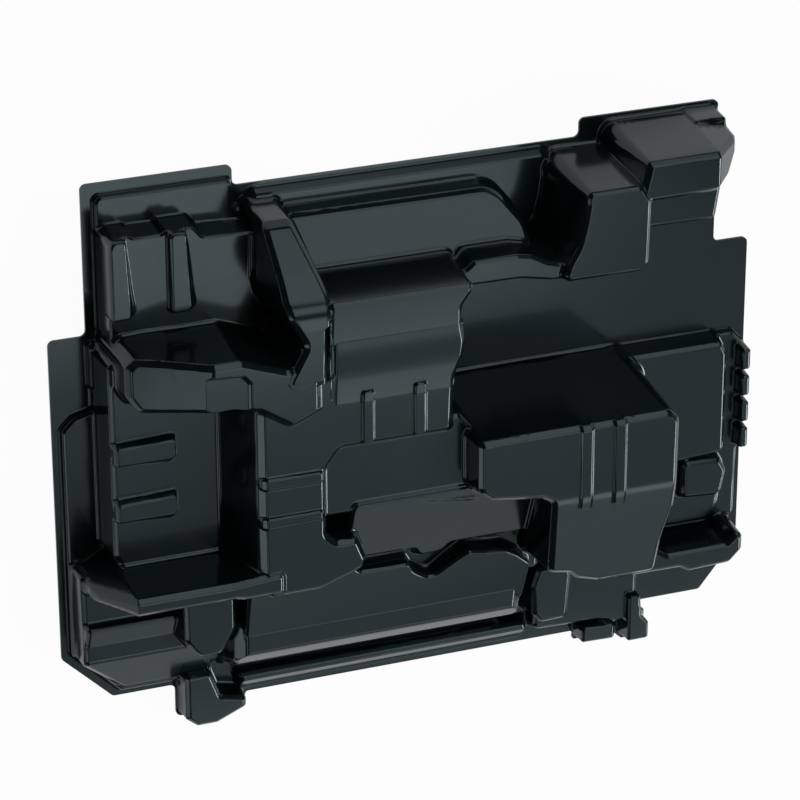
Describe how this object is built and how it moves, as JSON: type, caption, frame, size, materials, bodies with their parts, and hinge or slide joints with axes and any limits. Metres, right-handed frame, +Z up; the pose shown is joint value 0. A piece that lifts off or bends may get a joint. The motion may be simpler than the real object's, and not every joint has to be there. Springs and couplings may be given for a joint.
{
  "type": "tool case insert",
  "caption": "Formed plastic insert tray for a stacking tool case, with raised islands, arms and pads that hold a power tool and its accessories.",
  "frame": {"origin": "middle of the tray's length and width over its tabs, at the underside of its flange, on which it lies", "axes": "+X along the long side, +Y towards the edge with the two corner tabs, +Z up out of the flange on the side where the islands rise"},
  "size_m": [0.36, 0.293, 0.073],
  "materials": {
    "black_plastic": "glossy black formed polystyrene sheet with a slight blue-green cast"
  },
  "bodies": {
    "root": {"insert": "black_plastic"}
  },
  "joints": []
}
